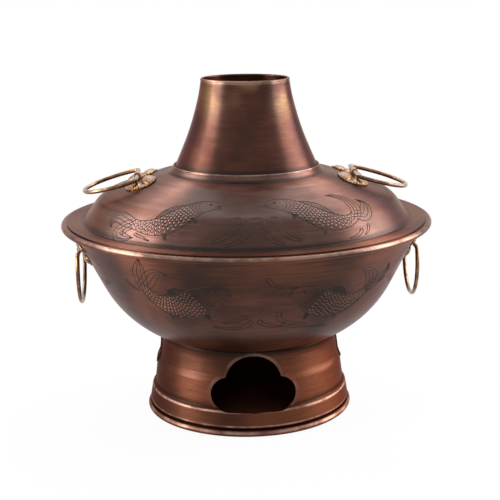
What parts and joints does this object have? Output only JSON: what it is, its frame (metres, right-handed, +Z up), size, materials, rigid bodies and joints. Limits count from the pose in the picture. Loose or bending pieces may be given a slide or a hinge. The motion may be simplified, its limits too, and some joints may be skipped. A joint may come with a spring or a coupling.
{
  "type": "chimney hot pot",
  "caption": "Round copper hot pot with a central flared charcoal chimney, a ring-shaped soup bowl, a lift-off lid, a vented fire base and hinged ring handles.",
  "frame": {"origin": "on the table, under the middle of the round foot", "axes": "+Z up along the chimney; -Y towards the fire door; the ring handles are on -X and +X"},
  "size_m": [0.32, 0.3199, 0.29],
  "materials": {
    "aged_copper": "brushed copper sheet with brown patina",
    "chimney_copper": "brushed copper sheet, heat-tinted towards the mouth",
    "sooty_copper": "copper sheet dulled by ash and soot",
    "aged_brass": "cast and stamped brass, dark in the hollows",
    "grate_iron": "rough cast iron",
    "edge_wire": "drawn iron wire hidden in the rolled edges"
  },
  "bodies": {
    "pot": {"base_skirt": "aged_copper", "foot_wire": "edge_wire", "ash_floor": "sooty_copper", "fire_grate": "grate_iron", "chimney_tube": "chimney_copper", "bowl": "aged_copper", "rim_wire": "edge_wire", "bowl_ear_left": "aged_brass", "bowl_ear_right": "aged_brass", "bowl_strap_left": "aged_brass", "bowl_strap_right": "aged_brass", "bowl_rivets": "aged_brass"},
    "lid": {"lid": "aged_copper", "lid_ear_left": "aged_brass", "lid_ear_right": "aged_brass", "lid_strap_left": "aged_brass", "lid_strap_right": "aged_brass", "lid_rivets": "aged_brass"},
    "lid_ring_left": {"lid_ring_left": "aged_brass"},
    "lid_ring_right": {"lid_ring_right": "aged_brass"},
    "bowl_ring_left": {"bowl_ring_left": "aged_brass"},
    "bowl_ring_right": {"bowl_ring_right": "aged_brass"}
  },
  "joints": [
    {"name": "lid_lift", "type": "slide", "parent": "pot", "child": "lid", "axis": [0, 0, 1], "range_m": [0, 0.18]},
    {"name": "lid_ring_right_swing", "type": "hinge", "parent": "lid", "child": "lid_ring_right", "pos_m": [0.09392, 0, 0.20771], "axis": [0, -1, 0], "range_deg": [0, 157]},
    {"name": "lid_ring_left_swing", "type": "hinge", "parent": "lid", "child": "lid_ring_left", "pos_m": [-0.09392, 0, 0.20771], "axis": [0, 1, 0], "range_deg": [0, 157]},
    {"name": "bowl_ring_right_swing", "type": "hinge", "parent": "pot", "child": "bowl_ring_right", "pos_m": [0.14525, 0, 0.1446], "axis": [0, -1, 0], "range_deg": [-29, 140]},
    {"name": "bowl_ring_left_swing", "type": "hinge", "parent": "pot", "child": "bowl_ring_left", "pos_m": [-0.14525, 0, 0.1446], "axis": [0, 1, 0], "range_deg": [-29, 140]}
  ]
}
